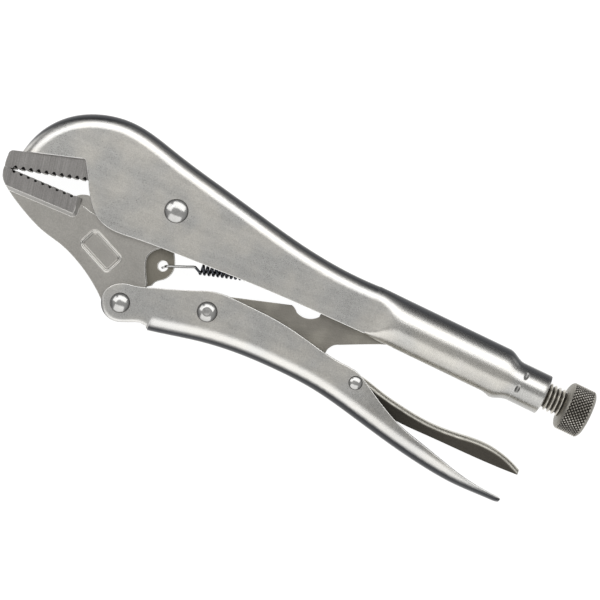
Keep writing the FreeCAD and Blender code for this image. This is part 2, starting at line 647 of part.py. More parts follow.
def make_toggle(doc, s):
    body = new_body(doc, "toggle_link")
    px, py = s.toggle_pivot_x, s.toggle_pivot_y
    r = s.toggle_tip_radius
    dx, dy = s.toggle_tip_x - px, s.screw_axis_y - py
    angle = math.atan2(dy, dx)
    reach = math.hypot(dx, dy) - r
    b = s.toggle_boss_radius
    place = FreeCAD.Placement(V(px, py, 0), FreeCAD.Rotation(V(0, 0, 1), math.degrees(angle)))
    strip = new_sketch(body, "link_outline")
    strip.AttachmentOffset = place
    draw(strip, (0, b), (33.0, b - 0.1), ((34.4, 5.6), (35.2, 4.3)), ((40.0, 2.3), (44.4, 3.6)),
         ((45.3, 5.2), (47.5, 5.9)), (60.0, 5.2), (reach, r), ((reach + r, 0), (reach, -r)), (69.4, -4.2),
         (63.4, -5.0), (57.9, -5.8), (54.0, -6.4), ((51.0, -7.2), (49.0, -9.2)),
         ((47.6, -10.9), (45.5, -10.2)), (34.0, -b), (0, -b), ((-b, 0), (0, b)))
    pad(body, "link", strip, "toggle_width")
    eye = circle(new_sketch(body, "eye_circle"), "toggle_pivot_x", "toggle_pivot_y", "toggle_boss_radius")
    pad(body, "eye", eye, "channel_gap - 2 * side_play")
    hole(body, "toggle_pin_hole", "toggle_pivot_x", "toggle_pivot_y", "toggle_pin_radius + pin_play")
    return body


# ---------------------------------------------------------------- release lever


def release_back(s):
    """Upper line of the release lever, from its nose to the tail."""
    end = s.release_end_x
    return [(79.6, -28.2), (84.0, -27.4), (95.0, -27.3), (105.0, -29.4), (115.0, -31.0), (130.0, -31.9),
            (end - 27.4, -30.9), (end - 17.4, -29.8), (end - 8.0, -30.8), (end - 2.5, -32.5),
            (end + s.tail_trim, -35.6)]


def make_release(doc, s):
    body = new_body(doc, "release_lever")
    back = release_back(s)
    end = s.release_end_x
    tail = back[-1][0]
    width = s.channel_gap - 2 * s.side_play
    outline = new_sketch(body, "side_outline")
    draw(outline, (79.6, -48.0), back[0], spline(back), (tail, -48.0))
    solid = pad(body, "side", outline, "channel_gap - 2 * side_play")
    ends = fillet(body, "tail_round", solid, lambda p: on_side(p, width) and p.x > tail - NEAR,
                  "channel_gap / 2 - side_play - 0.3", 2)
    fillet(body, "back_bend", ends, lambda p: near_line(p, back) or p.x > tail - 6 and p.y > -37,
           "release_bend")
    lower = offset(back, -s.release_gauge)[:-1]
    cavity = new_sketch(body, "cavity_outline")
    draw(cavity, (79.0, -50.0), (79.0, lower[0][1]), lower[0], spline(lower), (lower[-1][0], -50.0))
    pocket(body, "cavity", cavity, "channel_gap - 2 * side_play - 2 * release_gauge")
    trim = new_sketch(body, "lower_edge")
    draw(trim, (70.0, -31.5), (79.6, -31.5), [(88.0, -33.6), (96.0, -34.6), (104.0, -36.1), (115.0, -37.3),
         (130.0, -37.1), (end - 27.0, -36.9), (end - 10.0, -36.4), (end, -35.7)], (end, -25.0),
         (end + 2 * s.tail_trim, -25.0), (end + 2 * s.tail_trim, -60.0), (70.0, -60.0))
    pocket(body, "lower_trim", trim, "4 * tube_width")
    hole(body, "release_pin_hole", "release_pivot_x", "release_pivot_y", "release_pin_radius + pin_play")
    return body


def near_line(p, points):
    """True when p lies within a small distance above the chain of points."""
    for (ax, ay), (bx, by) in zip(points, points[1:]):
        if ax - NEAR <= p.x <= bx + NEAR:
            return abs(p.y - (ay + (by - ay) * (p.x - ax) / (bx - ax))) < 0.9
    return False


# ---------------------------------------------------------------- rivets and screw


def make_rivet(doc, name, pivot, sheet, heads):
    """A shank with two domed heads along Z; pivot names its place, heads its radii, one height both."""
    body = new_body(doc, name)
    face = f"channel_gap / 2 + {sheet}"
    shank, head, height = f"{heads}_pin_radius", f"{heads}_head_radius", "head_height"
    if heads == "release":
        height = "small_head_height"
    half = [("0", f"{face} + {height}"), (f"0.45 * {head}", f"{face} + {height}"),
            (f"0.80 * {head}", f"{face} + 0.72 * {height}"), (head, f"{face} + 0.15 * {height}"),
            (head, face), (shank, face)]
    below = [(radius, f"-({level})") for radius, level in half]
    turned = revolve(body, "turned", below + half[::-1], axis="V_Axis")
    sketch = turned.Profile[0]
    bind(sketch, "AttachmentOffset.Base.x", pivot[0])
    bind(sketch, "AttachmentOffset.Base.z", f"-({pivot[1]})")
    return body


def make_screw(doc, s):
    body = new_body(doc, "adjusting_screw")
    first = "toggle_tip_x + nose_gap + nose_length"
    neck = "neck_start_x + neck_length + screw_reach"
    points = [(first, "0"), (first, "thread_radius"), (neck, "thread_radius"), (neck, "knob_radius - 2"),
              (f"{neck} + 0.6", "knob_radius - 0.6"), (f"{neck} + 2", "knob_radius"),
              (f"{neck} + knob_length - 1.5", "knob_radius"), (f"{neck} + knob_length", "knob_radius - 1.2"),
              (f"{neck} + knob_length", "0")]
    turned = revolve(body, "turned", points)
    bind(turned.Profile[0], "AttachmentOffset.Base.z", "-screw_axis_y")
    return body


def make_nose(doc, s):
    body = new_body(doc, "screw_nose")
    first = "toggle_tip_x + nose_gap"
    points = [(first, "0"), (first, "nose_radius - 0.6"), (f"{first} + 0.6", "nose_radius"),
              (f"{first} + nose_length", "nose_radius"), (f"{first} + nose_length", "0")]
    turned = revolve(body, "turned", points)
    bind(turned.Profile[0], "AttachmentOffset.Base.z", "-screw_axis_y")
    return body


def rod(points, radius):
    """Round wire along straight runs with a ball at each bend."""
    pieces = [Part.makeSphere(1.03 * radius, V(*p)) for p in points]
    for a, b in zip(points, points[1:]):
        run = V(*b) - V(*a)
        pieces.append(Part.makeCylinder(radius, run.Length, V(*a), run))
    return pieces


def make_spring(doc, s):
    """Extension spring with a hook at each end, from the ear of the movable jaw to the frame's tab."""
    wire = s.wire_radius
    mean = s.coil_radius - wire
    slack = s.ear_hole_radius - wire - 0.12
    front = V(s.ear_hole_x + 0.94 * slack, s.ear_hole_y + 0.34 * slack, 0)
    back = V(s.anchor_x - 1.85 * wire, s.anchor_y - 0.6 * wire, 0)
    start, end = V(17.6, -16.9, 0), V(back.x - 8.0, back.y - 2.7, 0)
    along = end - start
    coil = Part.makeCylinder(s.coil_radius, along.Length, start, along)
    coil = coil.cut(Part.makeCylinder(s.coil_radius - 2 * wire, along.Length, start, along))
    turn = FreeCAD.Rotation(V(0, 0, 1), along)
    side = turn.multVec(V(mean, 0, 0))
    out = s.ear_width / 2 + 1.3 * wire
    tab = s.frame_gauge / 2 + 1.3 * wire
    low, high = start + side, end + side
    hook = rod([low, (low.x - 1.6, low.y + 0.4, low.z), (front.x + 4.2, front.y + 2.0, out),
                (front.x, front.y, out - 0.1), (front.x, front.y, -out)], wire)
    tail = rod([high, (high.x + 1.6, high.y + 0.3, high.z), (back.x - 3.4, back.y - 1.1, tab),
                (back.x, back.y, tab - 0.1), (back.x, back.y, -tab)], wire)
    shape = coil.fuse(hook + tail)
    spring = doc.addObject("Part::Feature", "return_spring")
    spring.Label = "return_spring"
    spring.Shape = shape
    return spring


# ---------------------------------------------------------------- assembly


def check(objects):
    """Stop if any feature failed or any finished piece is not a valid solid."""
    for thing in objects[0].Document.Objects:
        if "Invalid" in thing.State or "Error" in thing.State:
            raise RuntimeError(f"{thing.Name} did not build: {thing.State}")
    for piece in objects:
        shape = piece.Shape
        if shape.isNull() or not shape.isValid() or len(shape.Solids) != 1:
            raise RuntimeError(f"{piece.Label} is not one valid solid")


def place(doc, sheet, pieces):
    """Move the pieces together so that the origin is under the middle of the closed tool."""
    box = FreeCAD.BoundBox()
    for piece in pieces:
        box.add(piece.Shape.BoundBox)
    row = len(SIZES) + 2
    for name, value in (("centre_x", box.Center.x), ("centre_y", box.Center.y), ("lowest_z", box.ZMin)):
        sheet.set(f"B{row}", repr(round(value, 4)))
        sheet.setAlias(f"B{row}", name)
        row += 1
    doc.recompute()
    for piece in pieces:
        for axis, name in (("x", "centre_x"), ("y", "centre_y"), ("z", "lowest_z")):
            piece.setExpression(f"Placement.Base.{axis}", f"-dims.{name}")
    doc.recompute()


def main():
    doc = FreeCAD.newDocument("LockingPliers")
    sheet = make_sheet(doc)
    s = Sizes(sheet)
    pieces = [
        make_frame(doc, s),
        make_fixed_jaw(doc, s),
        make_movable_jaw(doc, s),
        make_lower_handle(doc, s),
        make_toggle(doc, s),
        make_release(doc, s),
        make_rivet(doc, "jaw_pivot_rivet", ("0", "0"), "frame_gauge", "jaw"),
        make_rivet(doc, "lever_pivot_rivet", ("lever_pivot_x", "lever_pivot_y"), "lever_gauge", "lever"),
        make_rivet(doc, "toggle_rivet", ("toggle_pivot_x", "toggle_pivot_y"), "lever_gauge", "toggle"),
        make_rivet(doc, "release_rivet", ("release_pivot_x", "release_pivot_y"), "lever_gauge", "release"),
        make_screw(doc, s),
        make_nose(doc, s),
        make_spring(doc, s),
    ]
    doc.recompute()
    check(pieces)
    place(doc, sheet, pieces)
    check(pieces)
    os.makedirs(PARTS, exist_ok=True)
    for piece in pieces:
        piece.Shape.exportStep(f"{PARTS}/{piece.Label}.step")
        print(piece.Label, round(piece.Shape.Volume, 1))


main()
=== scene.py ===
"""Locking pliers: the finishes, the small turned and wound detail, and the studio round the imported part."""

import logging
import math
from dataclasses import dataclass
from enum import Enum
from typing import Union

import bmesh
import bpy
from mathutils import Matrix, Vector


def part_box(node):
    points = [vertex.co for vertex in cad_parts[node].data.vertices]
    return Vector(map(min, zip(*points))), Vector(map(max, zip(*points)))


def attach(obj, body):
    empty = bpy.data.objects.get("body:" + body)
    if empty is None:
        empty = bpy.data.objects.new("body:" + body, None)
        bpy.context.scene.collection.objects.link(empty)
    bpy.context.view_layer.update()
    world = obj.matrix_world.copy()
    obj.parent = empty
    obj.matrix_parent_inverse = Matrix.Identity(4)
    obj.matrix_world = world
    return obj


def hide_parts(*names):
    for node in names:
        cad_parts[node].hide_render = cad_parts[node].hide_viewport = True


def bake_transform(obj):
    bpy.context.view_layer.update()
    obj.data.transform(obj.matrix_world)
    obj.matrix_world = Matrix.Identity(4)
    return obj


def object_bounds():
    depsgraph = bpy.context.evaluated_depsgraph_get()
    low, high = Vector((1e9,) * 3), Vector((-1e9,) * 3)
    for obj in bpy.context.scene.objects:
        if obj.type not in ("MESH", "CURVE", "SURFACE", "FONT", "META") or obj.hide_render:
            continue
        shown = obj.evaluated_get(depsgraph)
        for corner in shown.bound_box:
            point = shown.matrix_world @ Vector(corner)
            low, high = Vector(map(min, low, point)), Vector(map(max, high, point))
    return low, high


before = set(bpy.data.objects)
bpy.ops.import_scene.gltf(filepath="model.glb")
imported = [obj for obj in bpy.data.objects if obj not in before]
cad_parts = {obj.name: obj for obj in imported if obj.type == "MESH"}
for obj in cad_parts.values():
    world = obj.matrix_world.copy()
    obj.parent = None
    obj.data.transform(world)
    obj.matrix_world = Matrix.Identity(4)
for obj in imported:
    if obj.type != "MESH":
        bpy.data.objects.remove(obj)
cad_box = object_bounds()

log = logging.getLogger("pliers")

MM = 0.001
Colour = tuple[float, float, float]
Place = tuple[float, float, float]
Operand = Union["Signal", float, tuple]
FULL_TURN = 2 * math.pi


def middle(node: str) -> Vector:
    """Middle of a CAD node's box."""
    low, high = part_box(node)
    return (Vector(low) + Vector(high)) / 2


PIVOT = middle("jaw_pivot_rivet")
SCREW_AXIS = middle("adjusting_screw")


def at(x: float, y: float, z: float = 0.0) -> Vector:
    """A point given in millimetres from the jaw pivot."""
    return PIVOT + Vector((x, y, z)) * MM


class SpineSide(Enum):
    """The side on which a folded sheet's spine lies, as the sign of its outward Y."""

    UPPER = 1.0
    LOWER = -1.0


# ---------------------------------------------------------------- shader recipes


class Signal:
    """One socket of a shader tree; arithmetic on it adds Math nodes."""

    def __init__(self, tree: bpy.types.NodeTree, socket: bpy.types.NodeSocket) -> None:
        """Wrap a socket of a tree."""
        self.tree = tree
        self.socket = socket

    def feed(self, target: bpy.types.NodeSocket) -> None:
        """Link this socket to a node's input."""
        self.tree.links.new(self.socket, target)

    def math(self, operation: str, *operands: Operand) -> "Signal":
        """Add a Math node.

        Args:
            operation: the node's operation.
            operands: its inputs, signals or numbers, in order.

        Returns:
            The node's result.
        """
        node = self.tree.nodes.new("ShaderNodeMath")
        node.operation = operation
        for target, operand in zip(node.inputs, operands):
            if isinstance(operand, Signal):
                operand.feed(target)
            else:
                target.default_value = operand
        return Signal(self.tree, node.outputs[0])

    def __add__(self, other: Operand) -> "Signal":
        """Sum."""
        return self.math("ADD", self, other)

    def __radd__(self, other: Operand) -> "Signal":
        """Sum with a number on the left."""
        return self.math("ADD", other, self)

    def __sub__(self, other: Operand) -> "Signal":
        """Difference."""
        return self.math("SUBTRACT", self, other)

    def __rsub__(self, other: Operand) -> "Signal":
        """Difference from a number on the left."""
        return self.math("SUBTRACT", other, self)

    def __mul__(self, other: Operand) -> "Signal":
        """Product."""
        return self.math("MULTIPLY", self, other)

    def __rmul__(self, other: Operand) -> "Signal":
        """Product with a number on the left."""
        return self.math("MULTIPLY", other, self)

    def __abs__(self) -> "Signal":
        """Magnitude."""
        return self.math("ABSOLUTE", self)

    def over(self, other: Operand) -> "Signal":
        """The larger of this and another value."""
        return self.math("MAXIMUM", self, other)


class Nodes:
    """The node tree of a material or a world."""

    def __init__(self, owner: bpy.types.ID) -> None:
        """Empty the owner's node tree.

        Args:
            owner: the material or world.
        """
        owner.use_nodes = True
        self.tree = owner.node_tree
        self.tree.nodes.clear()

    def node(self, kind: str, settings: dict | None = None, inputs: dict | None = None,
             output: str | int = 0) -> Signal:
        """Add any node.

        Args:
            kind: the node's type name, without its first word.
            settings: its properties, set before its inputs.
            inputs: values or signals by the name or index of its usable sockets.
            output: the name or index of the usable socket to give back.

        Returns:
            The chosen output.
        """
        made = self.tree.nodes.new("ShaderNode" + kind)
        for key, value in (settings or {}).items():
            setattr(made, key, value)
        usable = [socket for socket in made.inputs if socket.enabled]
        for key, value in (inputs or {}).items():
            target = usable[key] if isinstance(key, int) else next(s for s in usable if s.name == key)
            if isinstance(value, Signal):
                value.feed(target)
            else:
                target.default_value = value
        results = [socket for socket in made.outputs if socket.enabled]
        found = results[output] if isinstance(output, int) else next(s for s in results if s.name == output)
        return Signal(self.tree, found)

    def finish(self, surface: Signal, kind: str = "OutputMaterial") -> None:
        """Join a shader to the output node of this kind."""
        surface.feed(self.tree.nodes.new("ShaderNode" + kind).inputs["Surface"])

    def step(self, value: Signal, low: float, high: float) -> Signal:
        """Smooth step of a value, 0 at low and 1 at high."""
        return self.node("MapRange", {"interpolation_type": "SMOOTHSTEP"},
                         {"Value": value, "From Min": low, "From Max": high})

    def mix(self, factor: Operand, a: Operand, b: Operand) -> Signal:
        """Blend of two colours.

        Args:
            factor: the share of the second colour.
            a: the first colour, a signal or a triple.
            b: the second colour.

        Returns:
            The blended colour.
        """
        a, b = [(*c, 1.0) if isinstance(c, tuple) else c for c in (a, b)]
        return self.node("Mix", {"data_type": "RGBA"}, {"Factor": factor, "A": a, "B": b})

    def vector(self, operation: str, *operands: Operand, output: str | int = 0) -> Signal:
        """Vector Math on the operands."""
        return self.node("VectorMath", {"operation": operation}, dict(enumerate(operands)), output)

    def shade(self, colour: Operand, factor: Operand) -> Signal:
        """A colour or vector multiplied by a number."""
        return self.node("VectorMath", {"operation": "SCALE"}, {"Vector": colour, "Scale": factor})


class Recipe(Nodes):
    """The node tree of one material, with helpers for patterns laid out in millimetres."""

    def __init__(self, name: str) -> None:
        """Start an empty material.

        Args:
            name: the material's name.
        """
        self.material = bpy.data.materials.new(name)
        super().__init__(self.material)
        self.spot = self.shade(self.node("TexCoord", output="Object"), 1 / MM)

    def axis(self, vector: Signal, name: str) -> Signal:
        """One component of a vector."""
        return self.node("SeparateXYZ", None, {0: vector}, name)

    def facing(self, name: str) -> Signal:
        """One component of the surface's own direction, in the piece's axes."""
        return self.axis(self.node("TexCoord", output="Normal"), name)

    def noise(self, size: float, detail: float = 2.0, along: Signal | None = None) -> Signal:
        """Soft random pattern.

        Args:
            size: the size of its features in millimetres.
            detail: how many finer layers it has.
            along: the coordinates to use in place of the plain ones.

        Returns:
            Values about 0.5.
        """
        return self.node("TexNoise", None,
                         {"Vector": along or self.spot, "Scale": 1 / size, "Detail": detail})

    def stretched(self, angle: float, across: float, length: float) -> Signal:
        """Coordinates for lines drawn out in one direction of the XY plane.

        Args:
            angle: direction of the lines in degrees from X.
            across: spacing of the lines in millimetres.
            length: length of the lines in millimetres.

        Returns:
            Coordinates for noise of size 1.
        """
        turned = self.node("VectorRotate", {"rotation_type": "Z_AXIS"},
                           {"Vector": self.spot, "Angle": -math.radians(angle)})
        return self.vector("MULTIPLY", turned, (1 / length, 1 / across, 1 / across))

    def spot_from(self, centre: Vector, name: str) -> Signal:
        """One coordinate in millimetres, counted from a centre."""
        return self.axis(self.spot, name) - getattr(centre, name.lower()) / MM

    def reach(self, centre: Vector, axes: tuple[float, float, float]) -> Signal:
        """Distance from a point in millimetres, measured along the axes marked 1."""
        away = self.vector("SUBTRACT", self.spot, tuple(centre / MM))
        return self.vector("LENGTH", self.vector("MULTIPLY", away, axes), output="Value")

    def edges(self, width: float) -> Signal:
        """Edge wear, also used as a painted highlight on the rims.

        Args:
            width: how far the wear and painted highlight reach from an edge, in millimetres.

        Returns:
            1 on an edge and 0 on a flat.
        """
        broken = self.node("Bevel", {"samples": 6}, {"Radius": width * MM})
        plain = self.node("NewGeometry", output="Normal")
        return self.step(self.vector("DOT_PRODUCT", broken, plain, output="Value"), 0.998, 0.95)

    def crowned(self, side: float, rounding: float, width: float) -> tuple[Signal, Signal]:
        """Sheet that starts to crown some way before its bend.

        Args:
            side: 1 when the bend is on the +Y side, -1 when it is on the other side.
            rounding: how far the other edges look broken, in millimetres.
            width: how far the crown reaches into the sheet, in millimetres.

        Returns:
            The normal, and a share that is 1 at the bend and 0 on the flat.
        """
        close, far = (self.node("Bevel", {"samples": 8}, {"Radius": size * MM}) for size in (rounding, width))
        local = self.node("VectorTransform", {"vector_type": "NORMAL"}, {"Vector": far})
        share = self.step(self.axis(local, "Y") * side, 0.005, 0.14)
        return self.mix(share, close, far), share

    def bump(self, height: Signal, depth: float, under: float | Signal = 0.0) -> Signal:
        """Relief on the surface.

        Args:
            height: the pattern, 0 to 1.
            depth: its full depth in millimetres.
            under: the normal below it, or how far the piece's sharp edges look broken, in millimetres.

        Returns:
            The normal for the surface shader.
        """
        inputs = {"Height": height, "Strength": 1.0, "Distance": depth * MM}
        if isinstance(under, Signal):
            inputs["Normal"] = under
        elif under:
            inputs["Normal"] = self.node("Bevel", {"samples": 6}, {"Radius": under * MM})
        return self.node("Bump", None, inputs)

    def metal(self, colour: Operand, roughness: Operand, normal: Signal) -> bpy.types.Material:
        """Close the recipe with a metal surface.

        Args:
            colour: base colour.
            roughness: roughness, a signal or a number.
            normal: the surface normal.

        Returns:
            The finished material.
        """
        inputs = {"Base Color": colour, "Roughness": roughness, "Normal": normal, "Metallic": 1.0}
        self.finish(self.node("BsdfPrincipled", None, inputs))
        return self.material


# ---------------------------------------------------------------- finishes


@dataclass(frozen=True)
class NickelSheet:
    """Satin nickel plate over folded sheet steel, with painted shade along the spine's bend and a painted
    highlight before it.

    Past drawn_from the sheet is drawn into a tube and is smoother. The two staking dents lie at the root of
    the neck. All places are in millimetres from the jaw pivot.
    """

    name: str
    side: SpineSide
    warm: Colour = (0.62, 0.60, 0.555)
    cool: Colour = (0.565, 0.56, 0.54)
    # Near-black colour painted as shade on the spine's bend, standing in for a dark reflection.
    painted_dark_band: Colour = (0.027, 0.029, 0.034)
    # Pale colour for the painted highlight near the bend and for the edge wear that also carries a painted
    # highlight.
    bright: Colour = (0.95, 0.94, 0.92)
    drawn_from: float = 92.0
    drawn_fade: float = 14.0
    crown: float = 2.5
    edge: float = 0.45
    rounding: float = 0.55
    dents: tuple[tuple[float, float], ...] = ((153.4, 1.2), (152.3, -5.0))
    dent_size: float = 1.1
    dent_depth: float = 12.0
    grain_depth: float = 0.034

    def make(self) -> bpy.types.Material:
        """Build the material.

        Returns:
            The finished material.
        """
        recipe = Recipe(self.name)
        grain = recipe.noise(0.42, 3.0)
        patch = recipe.noise(5.0, 2.0)
        cloud = recipe.noise(17.0, 2.0)
        smear = recipe.noise(1.0, 3.0, recipe.stretched(4.0, 2.2, 26.0))
        normal, crown = recipe.crowned(self.side.value, self.rounding, self.crown)
        first, second = (recipe.reach(at(*place), (1, 0.5, 0)) for place in self.dents)
        dent_with_painted_shade = recipe.step(first, self.dent_size, 0.2).over(recipe.step(second, self.dent_size, 0.2))
        tone = recipe.mix(recipe.step(cloud, 0.35, 0.65), self.cool, self.warm)
        drawn = recipe.step(recipe.spot_from(PIVOT, "X"), self.drawn_from, self.drawn_from + self.drawn_fade)
        mottle = 0.38 + grain * 0.6 + smear * 0.26 + patch * 0.14 + cloud * 0.2
        # Painted shade: past drawn_from the tube's colour is darkened as well as made smoother.
        tone = recipe.shade(tone, mottle - drawn * 0.18)
        # Painted shade: where the sheet turns outward at its bend, or towards the nose, its colour goes near
        # black.
        out = recipe.facing("Y") * self.side.value
        nose = out * 0.9 - recipe.facing("X") * 0.45
        bend = recipe.step(out, 0.46, 0.76).over(recipe.step(nose, 0.42, 0.68))
        bend = bend * recipe.step(recipe.facing("Z"), 0.1, 0.34)
        # Painted highlight: the colour is lightened where the sheet crowns towards its bend.
        tone = recipe.mix(crown * 0.32, tone, self.bright)
        tone = recipe.mix(bend * 0.96, tone, self.painted_dark_band)
        # Edge wear and painted highlight: the edges away from the bend are lightened.
        tone = recipe.mix(recipe.edges(self.edge) * (1 - bend) * 0.85, tone, self.bright)
        # Painted shade: the colour is halved inside the staking dents.
        tone = recipe.shade(tone, 1 - dent_with_painted_shade * 0.5)
        rough = 0.2 + cloud * 0.08 + grain * 0.12 - drawn * 0.04
        relief = (grain + smear * 0.2) * (1 - drawn * 0.4) - dent_with_painted_shade * self.dent_depth
        return recipe.metal(tone, rough, recipe.bump(relief, self.grain_depth, normal))


@dataclass(frozen=True)
class Badge:
    """The rolled rim round the badge recess; places in millimetres from the jaw pivot, tilt in degrees."""

    x: float = -20.4
    y: float = -27.3
    tilt: float = -22.0
    width: float = 15.4
    height: float = 7.8
    corner: float = 1.6
    roll: float = 1.1
    lift: float = 16.0

    def rim(self, recipe: "Recipe") -> Signal:
        """Height of the rolled rim.

        Args:
            recipe: the material that shows it.

        Returns:
            The height, highest on the recess's outline.
        """
        centre = tuple(at(self.x, self.y) / MM)
        turned = recipe.node("VectorRotate", {"rotation_type": "Z_AXIS"},
                             {"Vector": recipe.spot, "Center": centre, "Angle": -math.radians(self.tilt)})
        reach = recipe.vector("ABSOLUTE", recipe.vector("SUBTRACT", turned, centre))
        straight = (self.width / 2 - self.corner, self.height / 2 - self.corner, 100.0)
        beyond = recipe.vector("MAXIMUM", recipe.vector("SUBTRACT", reach, straight), (0, 0, 0))
        away = abs(recipe.vector("LENGTH", beyond, output="Value") - self.corner)
        return recipe.step(away, self.roll, 0.0) * self.lift


@dataclass(frozen=True)
class ForgedJaw:
    """Tumbled forging whose thick toothed block is ground across, with a tan ear for the spring.

    Places are in millimetres from the jaw pivot. Each tooth line gives the slope and rise of a jaw's row of
    tooth crests, and the way into the metal: 1 up, -1 down.
    """

    name: str
    panel: Colour = (0.43, 0.415, 0.385)
    ground: Colour = (0.28, 0.27, 0.26)
    ear: Colour = (0.23, 0.215, 0.18)
    # Near-black colour painted as shade on the tooth grooves, the block's end and the step down to the ear.
    painted_wall_shade: Colour = (0.02, 0.019, 0.017)
    bright: Colour = (0.95, 0.94, 0.9)
    panel_half: float = 4.5
    ear_half: float = 2.6
    block_end: float = -34.6
    tip_land: float = -66.0
    tooth_lines: tuple[tuple[float, float, float], ...] = ((0.2924, 6.55, 1.0), (0.0472, -10.07, -1.0))
    groove_top: float = 0.2
    groove_foot: float = 1.7
    shadow: float = 0.85
    edge: float = 0.45
    teeth_low: float = -15.0
    ear_start: float = -3.5
    stroke_angle: float = 104.0
    badge: Badge = Badge()

    def make(self) -> bpy.types.Material:
        """Build the material.

        Returns:
            The finished material.
        """
        recipe = Recipe(self.name)
        level = abs(recipe.spot_from(PIVOT, "Z"))
        block = recipe.step(level, self.panel_half + 0.1, self.panel_half + 0.4)
        ear = recipe.step(level, self.ear_half + 0.2, self.ear_half)
        flatness = abs(recipe.facing("Z"))
        along, height = recipe.spot_from(PIVOT, "X"), recipe.spot_from(PIVOT, "Y")
        jaws = recipe.step(along, self.block_end + 0.2, self.block_end)
        teeth = jaws * recipe.step(height, self.teeth_low - 1.0, self.teeth_low)
        step_down = recipe.step(along, self.ear_start - 0.5, self.ear_start) * (1 - ear)
        chamfer_highlight = recipe.step(flatness, 0.95, 0.8) * block
        end = recipe.step(recipe.facing("X"), 0.5, 0.8) * block
        gaps = [(height - along * slope - rise) * way for slope, rise, way in self.tooth_lines]
        upper, lower = (recipe.step(gap, self.groove_top, self.groove_top + 0.2)
                        * recipe.step(gap, self.groove_foot, self.groove_foot - 0.2) for gap in gaps)
        groove = jaws * recipe.step(along, self.tip_land, self.tip_land + 0.3) * upper.over(lower)
        # Painted shade: upright faces in the tooth grooves, and at shadow strength the block's end and the
        # step, go near black.
        painted_shade_walls = recipe.step(flatness, 0.5, 0.25) * groove.over(step_down.over(end) * self.shadow)
        grain = recipe.noise(0.45, 4.0)
        cloud = recipe.noise(11.0, 2.0)
        strokes = recipe.noise(1.0, 4.0, recipe.stretched(self.stroke_angle, 0.3, 14.0))
        tone = recipe.mix(block, self.panel, self.ground)
        tone = recipe.mix(ear, tone, self.ear)
        tone = recipe.shade(tone, 0.54 + grain * 0.6 + cloud * 0.3)
        tone = recipe.shade(tone, 1.0 + block * (strokes - 0.5) * 0.8)
        # Painted highlight on the block's sloped chamfers, and edge wear with painted highlight on the edges
        # away from the teeth.
        tone = recipe.mix((chamfer_highlight * 0.3).over(recipe.edges(self.edge) * (1 - teeth)), tone, self.bright)
        tone = recipe.mix(painted_shade_walls, tone, self.painted_wall_shade)
        rough = 0.3 + grain * 0.1 + block * strokes * 0.1 + ear * 0.1 + chamfer_highlight * 0.15 + painted_shade_walls * 0.6
        relief = grain * (1 - block * 0.6) + strokes * block + self.badge.rim(recipe)
        return recipe.metal(tone, rough, recipe.bump(relief, 0.03, 0.22))


@dataclass(frozen=True)
class TumbledSteel:
    """Plain tumbled strip with a thin tan-grey plate."""

    name: str
    tone: Colour = (0.36, 0.34, 0.295)
    shadow: Colour = (0.27, 0.255, 0.225)
    bright: Colour = (0.62, 0.60, 0.55)

    def make(self) -> bpy.types.Material:
        """Build the material.

        Returns:
            The finished material.
        """
        recipe = Recipe(self.name)
        grain = recipe.noise(0.4, 4.0)
        cloud = recipe.noise(9.0, 3.0)
        rub = recipe.noise(1.0, 3.0, recipe.stretched(18.0, 0.5, 14.0))
        tone = recipe.mix(recipe.step(cloud, 0.3, 0.7), self.shadow, self.tone)
        tone = recipe.shade(tone, 0.66 + grain * 0.45 + rub * 0.2)
        # Edge wear and painted highlight: the edges are lightened.
        tone = recipe.mix(recipe.edges(0.35) * 0.6, tone, self.bright)
        rough = 0.3 + grain * 0.12 + cloud * 0.06
        return recipe.metal(tone, rough, recipe.bump(grain * 0.8 + rub * 0.4, 0.03, 0.4))


@dataclass(frozen=True)
class DarkSheet:
    """Dark oiled sheet, lighter towards the tail, whose rolled back carries a painted highlight."""

    name: str
    oiled: Colour = (0.04, 0.037, 0.031)
    handled: Colour = (0.085, 0.078, 0.066)
    # Pale colour of the painted highlight along the rolled back.
    pale_tone: Colour = (0.62, 0.60, 0.54)
    dark_until: float = 100.0
    light_from: float = 150.0

    def make(self) -> bpy.types.Material:
        """Build the material.

        Returns:
            The finished material.
        """
        recipe = Recipe(self.name)
        grain = recipe.noise(0.4, 4.0)
        cloud = recipe.noise(7.0, 2.0)
        drawn = recipe.noise(1.0, 3.0, recipe.stretched(-4.0, 0.35, 20.0))
        along = recipe.spot_from(PIVOT, "X")
        # Painted highlight: the sheet facing +Y along the rolled back takes the pale colour.
        back = recipe.step(recipe.facing("Y") + (cloud - 0.5) * 0.3, 0.12, 0.6)
        body = recipe.mix(recipe.step(along, self.dark_until, self.light_from), self.oiled, self.handled)
        tone = recipe.mix(back, body, self.pale_tone)
        tone = recipe.shade(tone, 0.55 + grain * 0.5 + drawn * 0.4)
        rough = 0.36 - back * 0.12 + grain * 0.1
        return recipe.metal(tone, rough, recipe.bump(grain * 0.6 + drawn * 0.5, 0.024, 0.3))


@dataclass(frozen=True)
class PolishedRivet:
    """Bright rivet head, polished by the setting tool, with painted shade round its foot."""

    name: str
    centre: Vector
    radius: float
    bright: Colour = (0.54, 0.535, 0.52)
    # Dark colour painted as shade round the head's foot.
    painted_foot_shade: Colour = (0.10, 0.095, 0.085)
    eye: float = 0.0

    def make(self) -> bpy.types.Material:
        """Build the material.

        Returns:
            The finished material.
        """
        recipe = Recipe(self.name)
        reach = recipe.reach(self.centre, (1, 1, 0))
        grain = recipe.noise(0.5, 3.0)
        cloud = recipe.noise(2.2, 1.0)
        foot = recipe.step(reach + grain * 0.5, self.radius * 0.90, self.radius * 1.08)
        eye = recipe.step(reach, self.eye, self.eye * 0.8 - 0.01)
        # Painted shade: the head darkens towards its foot and beyond.
        tone = recipe.mix(foot, self.bright, self.painted_foot_shade)
        tone = recipe.shade(tone, 0.7 + grain * 0.24 + cloud * 0.3 - eye * 0.35)
        rough = 0.1 + grain * 0.06 + cloud * 0.08 + eye * 0.2 + foot * 0.3
        return recipe.metal(tone, rough, recipe.bump(grain * 0.6 + cloud * 1.0, 0.024))


